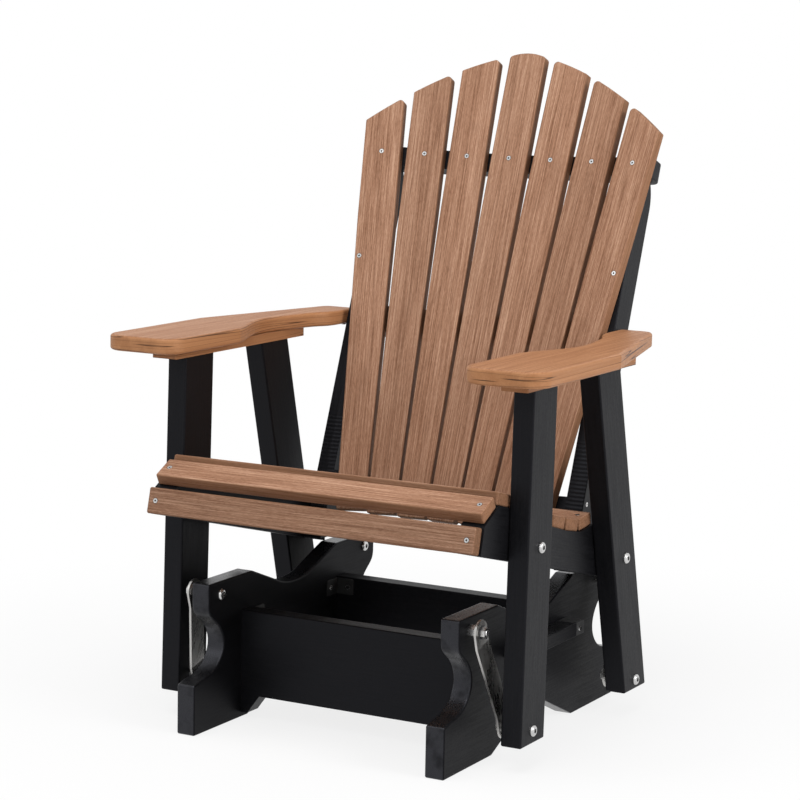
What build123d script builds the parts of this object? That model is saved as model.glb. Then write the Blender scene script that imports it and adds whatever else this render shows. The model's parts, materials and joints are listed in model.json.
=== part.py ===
from build123d import *
import math
import os

os.makedirs("parts", exist_ok=True)

# Placing of the base centre in front of the whole chair's centre
base_setback = 57.0

# Cuts, holes and fits
cut_overrun = 2.0
hole_fit = 0.05
hole_end_gap = 1.0
head_bore_fit = 0.3
pivot_fit = 0.05
pivot_play = 1.3
side_play = 0.3

# Base side boards
board_thickness = 35.6
base_leg_gap = 93.0
base_height = 260.4
base_edge_radius = 3.2
base_corner_radius = 4.0
foot_front_y = 335.8
foot_inner_y = 160.0
foot_height = 88.9
head_setback = 45.0
head_front_drop = 34.3
front_curve_shares = [(0.407, 0.034), (1.027, 0.071), (1.591, 0.154)]
front_curve_shares += [(2.089, 0.407), (1.649, 0.703), (1.162, 0.833)]
head_inner_back = 143.5
saddle_y = 55.9
saddle_drop = 34.3
saddle_low_drop = 43.2
relief_y = 55.9
relief_z = 45.7
relief_top_z = 53.3

# Stretchers between the base boards
stretcher_outer_y = 185.2
stretcher_thickness = 35.6
stretcher_bottom_z = 10.2
stretcher_top_z = 196.9
ear_width = 14.0
ear_chamfer_width = 24.6
stretcher_relief_z = 43.2
stretcher_edge_radius = 3.2

# Stop blocks and their rubber ends
stop_block_thickness = 38.1
stop_block_bottom_z = 163.1
stop_block_height = 24.1
stop_half_length = 119.4
bumper_length = 32.0
bumper_edge_radius = 2.5
bumper_screw_share = 0.4
stop_edge_radius = 1.6
stop_screw_y = 60.0

# Corner brackets in the base
bracket_leg = 38.0
bracket_width = 30.0
bracket_gauge = 2.5
bracket_corner_radius = 4.0
corner_bracket_z = 179.0
bracket_screw_reach = 26.0

# Glide linkage
pivot_head_inset = 38.3
pivot_drop = 23.4
link_length = 176.0
pivot_spread_cut = 81.0
front_link_rest_deg = 16.815

# Links
link_width = 42.0
link_gauge = 4.0
link_stand_off = 20.1
link_leg_gap = 15.5
link_upper_straight = 24.0
link_lower_straight = 26.0
bush_radius = 7.5
bush_flange_radius = 11.5
bush_flange = 1.2

# Pivot bolts, spacers and nuts
pivot_bolt_radius = 5.0
bolt_head_radius = 10.0
bolt_head_height = 5.5
bolt_head_round = 4.6
bolt_socket_radius = 4.2
bolt_socket_depth = 3.2
nut_across_flats = 17.0
nut_height = 8.0
bolt_end_reach = 1.6
bolt_end_chamfer = 1.0
spacer_across_flats = 19.0
lower_spacer_radius = 9.5

# Legs
leg_thickness = 38.1
leg_width = 88.9
leg_foot_drop = 17.6
leg_top_rise = 262.3
leg_edge_radius = 3.2
front_leg_lean_deg = 1.7
rear_leg_lean_deg = 14.5
front_leg_shift = 2.0
rear_leg_shift = 2.9
front_bolt_shift = 2.9
front_bolt_drop = 5.6
rear_bolt_front = 6.6
rear_bolt_drop = 85.1

# Seat rails
rail_thickness = 43.0
rail_width = 88.9
rail_fall_deg = 14.1
rail_front_y = 332.5
rail_front_rise = 314.775
rail_rear_reach = 80.7
rail_edge_radius = 2.0

# Seat slats
seat_slat_half_length = 317.2
seat_slat_end_gap = 3.1
seat_slat_width = 49.0
seat_slat_thickness = 22.0
seat_slat_gap = 7.8
seat_slat_edge_radius = 3.5
seat_first_back = 59.45
seat_first_rise = 74.9
seat_falls_deg = [14.5, 18.5, 21.0, 20.0, 16.0, 11.5, -5.0]
front_slat_width = 48.3
front_slat_rise_deg = 27.0
front_slat_drop = 4.0
apron_width = 45.7
apron_thickness = 22.0
rail_screw_inset_share = 0.43

# Back frame: a leaning plane through the middle slat's front
back_lean_deg = 20.5
back_ref_reach = 60.3
back_ref_rise = 48.5
back_curve_radius = 1640.0
back_slat_count = 7
outer_slat_inset = 80.2
back_fan_deg = 2.113
back_slat_low_gap = 5.2
back_slat_knee_gap = 8.4
back_slat_open_gap = 13.2
back_slat_thickness = 21.0
back_slat_bottom = 108.7
back_slat_edge_radius = 2.4
back_slat_corner_radius = 3.5
back_slat_crown_radius = 8.0
arch_rise = 747.8
arch_fall_deg = 8.3
arch_radius = 520.5
arch_turns = 6

# Back rails
back_rail_depth = 32.0
upper_rail_start = 567.0
upper_rail_thickness = 36.6
upper_rail_overhang = 16.7
upper_rail_corner_radius = 22.0
lower_rail_start = 238.0
lower_rail_height = 51.5
bottom_rail_start = 82.0
bottom_rail_height = 46.0
back_rail_edge_radius = 2.0
upper_screw_rise = 23.0
bottom_screw_depth = 59.0
outer_screw_height = 382.0
outer_screw_inset = 23.3

# Back uprights
upright_thickness = 35.6
upright_depth = 59.7
upright_front = 0.4
upright_bottom_drop = 111.3
upright_neck_height = 46.5
upright_neck_cut = 16.5
upright_neck_mid_share = 0.6
upright_neck_sag_share = 0.34
upright_edge_radius = 2.0
upright_screw_front = 32.6
upright_screw_drop = 63.3

# Arms and their battens
batten_inner_reach = 4.6
batten_outer_reach = 6.9
batten_thickness = 16.8
batten_front_reach = 39.7
batten_rear_reach = 51.0
batten_edge_radius = 3.0
arm_thickness = 27.5
arm_edge_radius = 5.5
arm_front_overhang = 71.5
arm_front_radius = 40.0
arm_inner_reach = 46.0
arm_outer_reach = 64.7
arm_shoulder_back = 213.7
arm_shoulder_radius = 12.0
arm_bend_back = 307.7
arm_waist_inset = 0.5
arm_ogee_shares = [(0.16, 0.07), (0.50, 0.175), (0.78, 0.27), (1.0, 0.39)]
arm_ogee_shares += [(0.99, 0.50), (0.80, 0.64), (0.44, 0.83)]
arm_ogee_start_shares = (0.05, 0.025)
arm_seat_start = 68.4
arm_rear_reach = 122.4
arm_end_inner_radius = 10.0
arm_end_outer_radius = 22.0
arm_taper_inset = 3.8
arm_taper_front = 48.5

# Arm brackets at the uprights
arm_bracket_leg = 32.0
arm_bracket_width = 16.0
arm_bracket_front = 10.5
arm_bracket_reach = 20.0

# Screws
screw_radius = 2.25
screw_head_radius = 4.7
screw_head_height = 2.6
screw_head_round = 1.3
screw_socket_radius = 1.9
screw_socket_depth = 1.4
screw_point = 4.0
screw_tip_share = 0.3
long_screw_length = 48.0
upright_screw_length = 60.0
short_screw_length = 20.0
stop_screw_length = 60.0
arm_screw_length = 38.0
arm_screw_shares = [0.12, 0.5, 0.88]
rail_end_screw_front = 15.0
rail_end_screw_rear = 41.0
lower_end_screw_low = 10.0
lower_end_screw_high = 42.0
bottom_end_screw_drop = 8.0
upper_end_screw_inset = 7.0
upper_end_screw_front = 14.0
upper_end_screw_rear = 32.0

made = {}
groups = {}


# Helpers
def radians_of(angle):
    return math.radians(angle)


def yz_solid(outline, start_x, end_x):
    face = make_face(Plane.YZ.offset(start_x) * outline)
    return extrude(face, amount=end_x - start_x, dir=(1, 0, 0))


def mirrored(shape):
    return mirror(shape, about=Plane.YZ)


def both_sides(name, shape):
    made[name + "_right"] = shape
    made[name + "_left"] = mirrored(shape)


def side_name(name, side):
    if side > 0:
        return name + "_right"
    return name + "_left"


def seat_plane(point, outward):
    return Plane(origin=point, z_dir=outward)


def cut_rod(names, plane, top, bottom, radius):
    start = plane.offset(bottom)
    rod = Solid.make_cylinder(radius, top - bottom, start)
    for name in names:
        made[name] = made[name] - rod


def placed(shape, plane):
    return plane.location * shape


def add_to(group, shape):
    groups.setdefault(group, []).append(shape)


# Fastener shapes, head on the plane and shank below it
def screw_shape(length):
    head = extrude(Circle(screw_head_radius), amount=screw_head_height)
    head = fillet(head.faces().sort_by(Axis.Z)[-1].edges(), screw_head_round)
    socket_floor = Plane.XY.offset(screw_head_height - screw_socket_depth)
    socket = extrude(socket_floor * RegularPolygon(screw_socket_radius, 6), amount=screw_head_height)
    shank = extrude(Circle(screw_radius), amount=-(length - screw_point))
    tip_plane = Plane.XY.offset(-length)
    shank_end = Plane.XY.offset(screw_point - length) * Circle(screw_radius)
    tip = loft([tip_plane * Circle(screw_radius * screw_tip_share), shank_end])
    return (head - socket) + shank + tip


def bolt_shape(length):
    head = extrude(Circle(bolt_head_radius), amount=bolt_head_height)
    head = fillet(head.faces().sort_by(Axis.Z)[-1].edges(), bolt_head_round)
    socket_floor = Plane.XY.offset(bolt_head_height - bolt_socket_depth)
    socket = extrude(socket_floor * RegularPolygon(bolt_socket_radius, 6), amount=bolt_head_height)
    shank = extrude(Circle(pivot_bolt_radius), amount=-length)
    shank = chamfer(shank.faces().sort_by(Axis.Z)[0].edges(), bolt_end_chamfer)
    return (head - socket) + shank


def hex_ring(across_flats, height, bore):
    body = extrude(RegularPolygon(across_flats / 2, 6, major_radius=False), amount=height)
    return body - extrude(Circle(bore), amount=height)


def round_ring(radius, height, bore):
    return extrude(Circle(radius) - Circle(bore), amount=height)


def set_screw(group, names, point, outward, length, sunk=0):
    plane = seat_plane(point, outward)
    sunk_plane = plane.offset(-sunk)
    add_to(group, placed(screw_shape(length), sunk_plane))
    cut_rod(names, sunk_plane, sunk + cut_overrun, -length - hole_end_gap, screw_radius + hole_fit)
    if sunk > 0:
        cut_rod(names[:1], sunk_plane, sunk + cut_overrun, 0, screw_head_radius + head_bore_fit)


# Faces across the chair, all from the seat slats' ends
leg_inner_x = seat_slat_half_length + seat_slat_end_gap
leg_outer_x = leg_inner_x + leg_thickness
base_inner_x = leg_inner_x - base_leg_gap
base_outer_x = base_inner_x + board_thickness
link_upper_x = base_outer_x + link_stand_off
link_lower_x = leg_inner_x - link_leg_gap
rail_inner_x = leg_inner_x - rail_thickness
upright_outer_x = rail_inner_x
upright_inner_x = upright_outer_x - upright_thickness

# Points of the base boards
head_front_y = foot_front_y - head_setback
head_front_z = base_height - head_front_drop
head_inner_y = head_front_y - head_inner_back
saddle_z = base_height - saddle_drop
saddle_low_z = base_height - saddle_low_drop

# Lower pivots of the linkage at rest
upper_pivot_y = head_front_y - pivot_head_inset
upper_pivot_z = base_height - pivot_drop
lower_pivot_spread = 2 * upper_pivot_y - pivot_spread_cut
swing = radians_of(front_link_rest_deg)
front_low_y = -upper_pivot_y + link_length * math.sin(swing)
front_low_z = upper_pivot_z - link_length * math.cos(swing)
rail_front_z = front_low_z + rail_front_rise
reach_y = upper_pivot_y - front_low_y
reach_z = upper_pivot_z - front_low_z
reach = math.hypot(reach_y, reach_z)
along = (lower_pivot_spread ** 2 - link_length ** 2 + reach ** 2) / (2 * reach)
across = math.sqrt(lower_pivot_spread ** 2 - along ** 2)
rear_low_y = front_low_y + (along * reach_y + across * reach_z) / reach
rear_low_z = front_low_z + (along * reach_z - across * reach_y) / reach
rear_link_rest_deg = math.degrees(math.atan2(rear_low_y - upper_pivot_y, upper_pivot_z - rear_low_z))

# Base side boards
head_lift = head_front_z - foot_height
front_curve_points = []
for back_share, up_share in front_curve_shares + [(1, 1)]:
    front_curve_points.append((foot_front_y - head_setback * back_share, foot_height + head_lift * up_share))


def base_profile(sign):
    foot = [(foot_inner_y, 0), (foot_front_y, 0), (foot_front_y, foot_height)]
    curve_points = [(sign * y, z) for y, z in [foot[-1]] + front_curve_points]
    curve = Spline(*curve_points, tangents=[(-sign * foot_front_y, foot_height), (0, 1)])
    top = [front_curve_points[-1], (head_front_y, base_height)]
    top += [(head_inner_y, base_height), (saddle_y, saddle_z)]
    low_line = Polyline(*[(sign * y, z) for y, z in foot])
    top_line = Polyline(*[(sign * y, z) for y, z in top])
    return Curve() + low_line + curve + top_line


saddle_run = head_inner_y - saddle_y
saddle_ways = [(saddle_run, -saddle_drop), (saddle_run, saddle_drop)]
saddle = Spline((-saddle_y, saddle_z), (0, saddle_low_z), (saddle_y, saddle_z), tangents=saddle_ways)
relief_run = foot_inner_y - relief_y
relief_ways = [(relief_run, relief_z), (relief_run, -relief_z)]
relief = Spline((-relief_y, relief_z), (0, relief_top_z), (relief_y, relief_z), tangents=relief_ways)
relief_front = Line((-foot_inner_y, 0), (-relief_y, relief_z))
relief_rear = Line((relief_y, relief_z), (foot_inner_y, 0))
base_outline = base_profile(-1) + saddle + base_profile(1) + relief_front + relief + relief_rear
base_face = make_face(Plane.YZ.offset(base_inner_x) * base_outline)
smooth_joins = [(relief_y, relief_z), (saddle_y, saddle_z), (head_front_y, head_front_z)]
base_corners = []
for spot in base_face.vertices():
    nearest = min(math.dist((abs(spot.Y), spot.Z), join) for join in smooth_joins)
    if nearest > base_corner_radius:
        base_corners.append(spot)
base_face = fillet(base_corners, base_corner_radius)
base_side = extrude(base_face, amount=board_thickness, dir=(1, 0, 0))
base_side = fillet(base_side.edges().filter_by(Axis.X, reverse=True), base_edge_radius)
both_sides("base_side", base_side)

# Stretchers
stretcher_points = [(-base_inner_x, stretcher_bottom_z), (-base_inner_x, stretcher_top_z)]
stretcher_points += [(base_inner_x, stretcher_top_z), (base_inner_x, stretcher_bottom_z)]
ear_end = base_inner_x - ear_width
notch_end = ear_end - ear_chamfer_width
stretcher_points += [(ear_end, stretcher_bottom_z), (notch_end, stretcher_relief_z)]
stretcher_points += [(-notch_end, stretcher_relief_z), (-ear_end, stretcher_bottom_z)]
stretcher_face = make_face(Plane.XZ * Polyline(*stretcher_points, close=True))
stretcher = extrude(stretcher_face, amount=stretcher_thickness, dir=(0, 1, 0))
stretcher_tops = stretcher.faces().sort_by(Axis.Z)[-1].edges().filter_by(Axis.X)
stretcher = fillet(stretcher_tops, stretcher_edge_radius)
made["base_stretcher_front"] = Pos(0, -stretcher_outer_y, 0) * stretcher
made["base_stretcher_rear"] = Pos(0, stretcher_outer_y - stretcher_thickness, 0) * stretcher

# Stop blocks
stop_outer_x = base_outer_x + stop_block_thickness
stop_inner_y = stop_half_length - bumper_length
stop_mid_z = stop_block_bottom_z + stop_block_height / 2
stop_mid_x = base_outer_x + stop_block_thickness / 2
block = Box(stop_block_thickness, 2 * stop_inner_y, stop_block_height)
block = Pos(stop_mid_x, 0, stop_mid_z) * fillet(block.edges().filter_by(Axis.Y), stop_edge_radius)
both_sides("stop_block", block)
bumper = Box(stop_block_thickness, bumper_length, stop_block_height)
bumper = fillet(bumper.edges().filter_by(Axis.Y), bumper_edge_radius)
bumper_mid_y = stop_inner_y + bumper_length / 2
bumper_screw_y = stop_inner_y + bumper_length * bumper_screw_share
for side in (-1, 1):
    board_name = side_name("base_side", side)
    for end in (-1, 1):
        made["stop_bumper"] = Pos(side * stop_mid_x, end * bumper_mid_y, stop_mid_z) * bumper
        point = (side * stop_outer_x, end * bumper_screw_y, stop_mid_z)
        set_screw("stop_screws", ["stop_bumper", board_name], point, (side, 0, 0), stop_screw_length)
        add_to("stop_bumpers", made.pop("stop_bumper"))
    point = (side * stop_outer_x, -stop_screw_y, stop_mid_z)
    names = [side_name("stop_block", side), board_name]
    set_screw("stop_screws", names, point, (side, 0, 0), stop_screw_length)

# Corner brackets in the base
stretcher_inner_y = stretcher_outer_y - stretcher_thickness


def bracket_shape(leg, width):
    corner = [(0, 0), (leg, 0), (leg, bracket_gauge), (bracket_gauge, bracket_gauge)]
    corner += [(bracket_gauge, leg), (0, leg)]
    body = extrude(make_face(Polyline(*corner, close=True)), amount=width)
    ends = body.faces().sort_by(Axis.X)[-1:] + body.faces().sort_by(Axis.Y)[-1:]
    short_edges = [edge for face in ends for edge in face.edges() if edge.length < 2 * bracket_gauge]
    body = fillet(short_edges, bracket_corner_radius)
    return Pos(0, 0, -width / 2) * body


for side in (-1, 1):
    for end in (-1, 1):
        corner_point = (side * base_inner_x, end * stretcher_inner_y, corner_bracket_z)
        turn = {(1, 1): 180, (-1, 1): 270, (-1, -1): 0, (1, -1): 90}[(side, end)]
        bracket_name = "corner_bracket" + str(side) + str(end)
        made[bracket_name] = Pos(*corner_point) * Rot(0, 0, turn) * bracket_shape(bracket_leg, bracket_width)
        stretcher_name = "base_stretcher_rear" if end > 0 else "base_stretcher_front"
        seat_y = end * (stretcher_inner_y - bracket_gauge)
        point = (side * (base_inner_x - bracket_screw_reach), seat_y, corner_bracket_z)
        set_screw("base_screws", [bracket_name, stretcher_name], point, (0, -end, 0), short_screw_length)
        seat_y = end * (stretcher_inner_y - bracket_screw_reach)
        point = (side * (base_inner_x - bracket_gauge), seat_y, corner_bracket_z)
        names = [bracket_name, side_name("base_side", side)]
        set_screw("base_screws", names, point, (-side, 0, 0), short_screw_length)
        add_to("corner_brackets", made.pop(bracket_name))

# Links, built hanging down from the upper pivot and then swung
bend_top = -link_upper_straight
bend_low = link_lower_straight - link_length
half_link = link_width / 2
top_end = half_link + cut_overrun
low_end = -link_length - half_link - cut_overrun
link_rise = math.atan2(link_lower_x - link_upper_x, bend_top - bend_low)
gauge_shift = link_gauge * math.tan(link_rise / 2)
half_gauge = link_gauge / 2
strap_line = [(link_upper_x - half_gauge, top_end), (link_upper_x - half_gauge, bend_top)]
strap_line += [(link_lower_x - half_gauge, bend_low), (link_lower_x - half_gauge, low_end)]
strap_line += [(link_lower_x + half_gauge, low_end), (link_lower_x + half_gauge, bend_low + gauge_shift)]
strap_line += [(link_upper_x + half_gauge, bend_top + gauge_shift), (link_upper_x + half_gauge, top_end)]
strap_face = make_face(Plane.XZ.offset(-half_link) * Polyline(*strap_line, close=True))
strap = extrude(strap_face, amount=link_width, dir=(0, -1, 0))
plan = Pos(0, -link_length / 2) * SlotCenterToCenter(link_length, link_width, rotation=90)
plan_solid = extrude(Plane.YZ.offset(link_upper_x - link_width) * plan, amount=2 * link_width, dir=(1, 0, 0))
link_body = strap & plan_solid
upper_eye = Solid.make_cylinder(bush_radius, 2 * link_width, Plane.YZ.offset(link_upper_x - link_width))
lower_plane = Plane(origin=(link_lower_x - link_width, 0, -link_length), z_dir=(1, 0, 0))
lower_eye = Solid.make_cylinder(bush_radius, 2 * link_width, lower_plane)
link_body = link_body - upper_eye - lower_eye


def bush_shape(plate_x, height, bore):
    plane = Plane(origin=(plate_x - link_gauge / 2 - bush_flange, 0, height), z_dir=(1, 0, 0))
    inner = placed(round_ring(bush_flange_radius, bush_flange, bore), plane)
    body = placed(round_ring(bush_radius, link_gauge, bore), plane.offset(bush_flange))
    outer = placed(round_ring(bush_flange_radius, bush_flange, bore), plane.offset(bush_flange + link_gauge))
    return inner + body + outer


snug_bore = pivot_bolt_radius + pivot_fit
bolt_bore = pivot_bolt_radius + hole_fit
open_bore = pivot_bolt_radius + pivot_play
link_ends = [("front", -upper_pivot_y, front_link_rest_deg, snug_bore)]
link_ends += [("rear", upper_pivot_y, rear_link_rest_deg, open_bore)]
for end_name, pivot_y, rest_deg, low_bore in link_ends:
    hang = Pos(0, pivot_y, upper_pivot_z) * Rot(rest_deg, 0, 0)
    both_sides(end_name + "_link", hang * link_body)
    upper_bush = hang * bush_shape(link_upper_x, 0, snug_bore)
    lower_bush = hang * bush_shape(link_lower_x, -link_length, low_bore)
    for bush in (upper_bush, lower_bush):
        add_to(end_name + "_link_bushes", bush)
        add_to(end_name + "_link_bushes", mirrored(bush))

# Upper pivot bolts, spacer nuts and outer nuts
upper_inner_x = link_upper_x - link_gauge / 2 - bush_flange
upper_outer_x = link_upper_x + link_gauge / 2 + bush_flange
upper_spacer_length = upper_inner_x - side_play - base_outer_x
upper_bolt_length = upper_outer_x + side_play + nut_height + bolt_end_reach - base_inner_x
for side in (-1, 1):
    for end in (-1, 1):
        point = (side * base_inner_x, end * upper_pivot_y, upper_pivot_z)
        plane = seat_plane(point, (-side, 0, 0))
        add_to("upper_pivot_bolts", placed(bolt_shape(upper_bolt_length), plane))
        board_name = side_name("base_side", side)
        cut_rod([board_name], plane, cut_overrun, -board_thickness - cut_overrun, bolt_bore)
        out_plane = seat_plane((side * base_outer_x, end * upper_pivot_y, upper_pivot_z), (side, 0, 0))
        spacer = hex_ring(spacer_across_flats, upper_spacer_length, bolt_bore)
        add_to("upper_pivot_spacers", placed(spacer, out_plane))
        nut_plane = out_plane.offset(upper_outer_x + side_play - base_outer_x)
        nut = hex_ring(nut_across_flats, nut_height, bolt_bore)
        add_to("upper_pivot_nuts", placed(nut, nut_plane))

# Legs
leg_bottom_z = rear_low_z - leg_foot_drop
leg_top_z = rail_front_z + leg_top_rise
front_leg_y = front_low_y + front_leg_shift
rear_leg_y = rear_low_y - rear_leg_shift
leg_specs = [("front_leg", front_leg_y, front_low_z, front_leg_lean_deg)]
leg_specs += [("rear_leg", rear_leg_y, rear_low_z, -rear_leg_lean_deg)]
leg_tops = {}
leg_slopes = {}
for leg_name, foot_y, foot_z, lean_deg in leg_specs:
    slope = math.tan(radians_of(lean_deg))
    half_run = leg_width / 2 / math.cos(radians_of(lean_deg))
    low_y = foot_y + (leg_bottom_z - foot_z) * slope
    top_y = foot_y + (leg_top_z - foot_z) * slope
    outline = [(low_y - half_run, leg_bottom_z), (low_y + half_run, leg_bottom_z)]
    outline += [(top_y + half_run, leg_top_z), (top_y - half_run, leg_top_z)]
    leg = yz_solid(Polyline(*outline, close=True), leg_inner_x, leg_outer_x)
    leg_tops[leg_name] = (top_y - half_run, top_y + half_run)
    leg_slopes[leg_name] = slope
    top_edges = leg.faces().sort_by(Axis.Z)[-1].edges()
    leg = fillet([edge for edge in leg.edges() if edge not in top_edges], leg_edge_radius)
    both_sides(leg_name, leg)

# Seat rails with the scooped top
fall = radians_of(rail_fall_deg)
rise = radians_of(front_slat_rise_deg)
corners = []
seat_first_y = rail_front_y - seat_first_back
seat_first_z = rail_front_z + seat_first_rise
corner_y = -seat_first_y
corner_z = seat_first_z
for place, fall_deg in enumerate(seat_falls_deg):
    slat_fall = radians_of(fall_deg)
    end_y = corner_y + seat_slat_width * math.cos(slat_fall)
    end_z = corner_z - seat_slat_width * math.sin(slat_fall)
    corners.append((corner_y, corner_z, slat_fall, end_y, end_z))
    next_fall = radians_of(seat_falls_deg[min(place + 1, len(seat_falls_deg) - 1)])
    gap_fall = (slat_fall + next_fall) / 2
    corner_y = end_y + seat_slat_gap * math.cos(gap_fall)
    corner_z = end_z - seat_slat_gap * math.sin(gap_fall)
front_slat_z = seat_first_z - front_slat_drop
first_fall = corners[0][2]
crest_run = front_slat_drop / (math.tan(rise) + math.tan(first_fall))
crest = (-seat_first_y + crest_run, front_slat_z + crest_run * math.tan(rise))
low_front = (-rail_front_y, rail_front_z)
end_gap_z = front_slat_z + (seat_first_y - rail_front_y) * math.tan(rise) - rail_front_z
end_run = end_gap_z / (math.cos(fall) - math.sin(fall) * math.tan(rise))
end_top = (low_front[0] + end_run * math.sin(fall), low_front[1] + end_run * math.cos(fall))


def rail_top_z(y):
    return rail_front_z - (y + rail_front_y) * math.tan(fall) + rail_width / math.cos(fall)


rail_points = [low_front, end_top, crest]
for corner_y, corner_z, slat_fall, end_y, end_z in corners:
    if corner_y > crest[0]:
        rail_points.append((corner_y, corner_z))
    rail_points.append((end_y, end_z))
rear_step_y = corners[-1][3] + seat_slat_gap
rail_rear_y = rear_step_y + rail_rear_reach
rail_points.append((rear_step_y, rail_top_z(rear_step_y)))
rail_points.append((rail_rear_y, rail_top_z(rail_rear_y)))
rail_points.append((rail_rear_y, rail_front_z - (rail_rear_y + rail_front_y) * math.tan(fall)))
seat_rail = yz_solid(Polyline(*rail_points, close=True), rail_inner_x, leg_inner_x)
rail_lows = seat_rail.faces().filter_by(Axis.X, reverse=True).sort_by(Axis.Z)[0].edges()
long_lows = [edge for edge in rail_lows if edge.length > rail_thickness + rail_edge_radius]
seat_rail = fillet(long_lows, rail_edge_radius)
both_sides("seat_rail", seat_rail)


# Seat slats, front slat and apron
def seat_board(name, foot_y, foot_z, angle, width, thickness):
    board = Box(2 * seat_slat_half_length, width, thickness)
    board = fillet(board.edges(), seat_slat_edge_radius)
    board = Pos(0, width / 2, thickness / 2) * board
    turned = Pos(0, foot_y, foot_z) * Rot(math.degrees(angle), 0, 0)
    made[name] = turned * board
    run_y = math.cos(angle)
    run_z = math.sin(angle)
    mid_y = foot_y + run_y * width / 2 - run_z * thickness
    mid_z = foot_z + run_z * width / 2 + run_y * thickness
    for side in (-1, 1):
        point = (side * (leg_inner_x - rail_thickness * rail_screw_inset_share), mid_y, mid_z)
        names = [name, side_name("seat_rail", side)]
        set_screw("board_screws", names, point, (0, -run_z, run_y), long_screw_length, screw_head_height)


front_foot_y = -seat_first_y - front_slat_width * math.cos(rise)
front_foot_z = front_slat_z - front_slat_width * math.sin(rise)
seat_board("seat_slat_1", front_foot_y, front_foot_z, rise, front_slat_width, seat_slat_thickness)
for place, (corner_y, corner_z, slat_fall, end_y, end_z) in enumerate(corners):
    name = "seat_slat_" + str(place + 2)
    seat_board(name, corner_y, corner_z, -slat_fall, seat_slat_width, seat_slat_thickness)
apron_angle = math.pi / 2 - fall
seat_board("front_apron", -rail_front_y, rail_front_z, apron_angle, apron_width, apron_thickness)

# Back frame axes
lean = radians_of(back_lean_deg)
along_back = Vector(0, math.sin(lean), math.cos(lean))
off_back = Vector(0, -math.cos(lean), math.sin(lean))
back_ref_y = rear_step_y + back_ref_reach
back_ref_z = rail_front_z + back_ref_rise
back_origin = Vector(0, back_ref_y, back_ref_z)
back_slat_spacing = (upright_outer_x - outer_slat_inset) / (back_slat_count // 2)
fan_slope = math.tan(radians_of(back_fan_deg))
upper_screw_height = upper_rail_start + upper_screw_rise
upper_rail_half_length = upright_outer_x + upper_rail_overhang
arch_top_z = back_ref_z + arch_rise


def back_point(x, height, forward):
    return back_origin + Vector(x, 0, 0) + along_back * height + off_back * forward


def slat_centre_x(step, height):
    return step * (back_slat_spacing + height * fan_slope)


def curve_forward(x):
    return x * x / (2 * back_curve_radius)


def slat_plane(step):
    low_x = slat_centre_x(step, -back_slat_bottom)
    high_x = slat_centre_x(step, upper_screw_height)
    low = back_point(low_x, -back_slat_bottom, curve_forward(low_x))
    high = back_point(high_x, upper_screw_height, curve_forward(high_x))
    up = (high - low).normalized()
    facing = off_back - Vector(high_x / back_curve_radius, 0, 0)
    facing = (facing - up * facing.dot(up)).normalized()
    return Plane(origin=low, x_dir=up.cross(facing), z_dir=facing)


def arch_z(x):
    drop = abs(x) * math.tan(radians_of(arch_fall_deg)) + x * x / (2 * arch_radius)
    return arch_top_z - drop


def slat_top(plane, across_slat, start):
    run = start
    for turn in range(arch_turns):
        spot = plane.origin + plane.x_dir * across_slat + plane.y_dir * run
        run = run + (arch_z(spot.X) - spot.Z) / plane.y_dir.Z
    return run


first_step = -(back_slat_count // 2)
slat_steps = range(first_step, first_step + back_slat_count)
full_run = upper_screw_height + back_slat_bottom
knee_run = full_run - (back_slat_open_gap - back_slat_knee_gap) / fan_slope
low_half = (slat_centre_x(1, -back_slat_bottom) - back_slat_low_gap) / 2
top_half = (slat_centre_x(1, upper_screw_height) - back_slat_open_gap) / 2
cutters = {}
for step in slat_steps:
    plane = slat_plane(step)
    mid_run = slat_top(plane, 0, full_run)
    left_run = slat_top(plane, -top_half, full_run)
    right_run = slat_top(plane, top_half, full_run)
    side_points = [(-top_half, left_run), (-top_half, knee_run), (-low_half, 0)]
    side_points += [(low_half, 0), (top_half, knee_run), (top_half, right_run)]
    crown = ThreePointArc((top_half, right_run), (0, mid_run), (-top_half, left_run))
    outline = make_face(Curve() + Polyline(*side_points) + crown)
    tops = [spot for spot in outline.vertices() if spot.Y > full_run]
    outline = fillet([spot for spot in tops if spot.X * step <= 0], back_slat_crown_radius)
    plain_corners = []
    for spot in outline.vertices():
        low_end = spot.Y < back_slat_corner_radius
        outer_top = spot.Y > full_run and spot.X * step > 0
        if low_end or outer_top:
            plain_corners.append(spot)
    outline = fillet(plain_corners, back_slat_corner_radius)
    slat = extrude(outline, amount=-back_slat_thickness)
    slat = fillet(slat.faces().sort_by(Axis.Z)[-1].edges(), back_slat_edge_radius)
    slat = fillet(slat.faces().sort_by(Axis.Z)[0].edges(), back_slat_edge_radius)
    name = "back_slat_" + str(step - first_step + 1)
    made[name] = placed(slat, plane)
    low_reach = slat_centre_x(1, -back_slat_bottom) / 2 + cut_overrun
    high_reach = slat_centre_x(1, upper_screw_height) / 2 + cut_overrun
    slope_reach = (high_reach - low_reach) / full_run
    far_reach = high_reach + slope_reach * full_run
    left_low = low_reach if step > first_step else far_reach
    left_far = far_reach
    right_low = low_reach if step < -first_step else far_reach
    cutter_outline = [(-left_low, 0), (right_low, 0), (far_reach, 2 * full_run), (-left_far, 2 * full_run)]
    cutter_face = make_face(Plane.XY.offset(-back_slat_thickness) * Polyline(*cutter_outline, close=True))
    cutters[step] = placed(extrude(cutter_face, amount=upper_rail_half_length), plane)

# Back rails, faceted behind each slat
back_frame = Plane(origin=back_origin, x_dir=(1, 0, 0), z_dir=along_back)
rail_back = back_slat_thickness + back_rail_depth


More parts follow.
